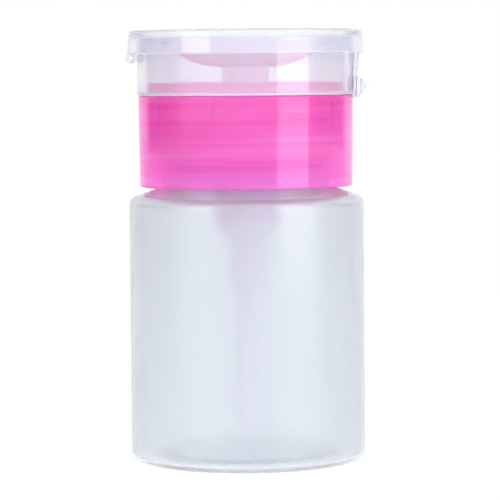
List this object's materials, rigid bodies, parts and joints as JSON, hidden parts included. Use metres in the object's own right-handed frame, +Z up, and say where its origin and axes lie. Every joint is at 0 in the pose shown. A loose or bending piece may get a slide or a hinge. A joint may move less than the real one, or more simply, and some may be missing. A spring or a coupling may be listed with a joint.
{
  "type": "nail polish remover pump",
  "caption": "Frosted plastic bottle with a screw-on pink collar, a press-down dispensing dish with a spring pump, and a clear hinged snap lid.",
  "frame": {"origin": "centre of the bottle's foot, on the surface that it stands on", "axes": "+Z up along the bottle, -X towards the lid's hinge, +X towards the lid's latch and thumb tab"},
  "size_m": [0.0475, 0.0462, 0.0841],
  "materials": {
    "frosted_plastic": "frosted, semi-clear",
    "pink_plastic": "glossy, slightly see-through",
    "clear_plastic": "clear, moulded",
    "dish_plastic": "natural, semi-clear",
    "natural_plastic": "natural, milky",
    "seal_foam": "soft white",
    "spring_steel": "drawn wire",
    "valve_glass": "polished"
  },
  "bodies": {
    "bottle": {"bottle": "frosted_plastic"},
    "pump_unit": {"neck_gasket": "seal_foam", "pump_housing": "natural_plastic", "guide_bush": "natural_plastic", "return_spring": "spring_steel", "dip_tube": "natural_plastic"},
    "collar": {"pump_collar": "pink_plastic", "lid_ring": "clear_plastic"},
    "lid": {"flip_lid": "clear_plastic"},
    "dish": {"press_dish": "dish_plastic", "nozzle_cap": "dish_plastic", "pump_stem": "natural_plastic", "piston": "natural_plastic"},
    "inlet_valve": {"inlet_ball": "valve_glass"},
    "outlet_valve": {"outlet_ball": "valve_glass"}
  },
  "joints": [
    {"name": "head_lift", "type": "slide", "parent": "bottle", "child": "pump_unit", "axis": [0, 0, 1], "range_m": [0, 0.0063]},
    {"name": "collar_turn", "type": "hinge", "parent": "pump_unit", "child": "collar", "pos_m": [0, 0, 0.068], "axis": [0, 0, 1], "range_deg": [0, 540]},
    {"name": "lid_hinge", "type": "hinge", "parent": "collar", "child": "lid", "pos_m": [-0.0223, 0, 0.07883], "axis": [0, -1, 0], "range_deg": [0, 150]},
    {"name": "dish_press", "type": "slide", "parent": "pump_unit", "child": "dish", "axis": [0, 0, 1], "range_m": [-0.006, 0], "stiffness_N_per_m": 400, "springref_m": 0.004, "deforming": ["return_spring"]},
    {"name": "inlet_ball_lift", "type": "slide", "parent": "pump_unit", "child": "inlet_valve", "axis": [0, 0, 1], "range_m": [0, 0.001]},
    {"name": "outlet_ball_lift", "type": "slide", "parent": "dish", "child": "outlet_valve", "axis": [0, 0, 1], "range_m": [0, 0.0008]}
  ],
  "couplings": [
    {"joint": "head_lift", "follows": "collar_turn", "m_per_rad": 0.00066845}
  ]
}
